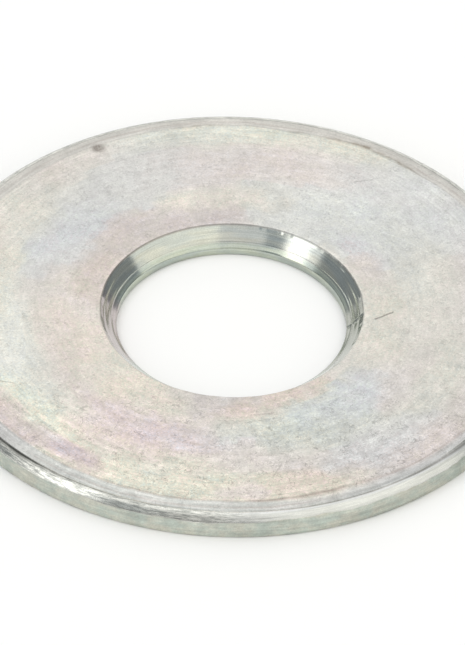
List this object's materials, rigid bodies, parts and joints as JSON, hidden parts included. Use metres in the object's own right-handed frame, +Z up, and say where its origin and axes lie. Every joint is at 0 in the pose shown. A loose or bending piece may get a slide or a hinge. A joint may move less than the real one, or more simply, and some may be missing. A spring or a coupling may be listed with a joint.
{
  "type": "flat washer",
  "caption": "Wide flat washer punched from sheet steel and zinc plated, with a rounded upper rim and a hole that narrows downwards; spreads the load under a bolt head or nut.",
  "frame": {"origin": "centre of the lower face, on the axis of the hole", "axes": "+Z up along the axis of the hole, from the face with the sharp edge towards the face with the rounded rim and the wide mouth of the hole"},
  "size_m": [0.035, 0.035, 0.0015],
  "materials": {
    "zinc_plated_steel": "bright zinc plating, satin, with faint iridescent passivation"
  },
  "bodies": {
    "root": {"washer": "zinc_plated_steel"}
  },
  "joints": []
}
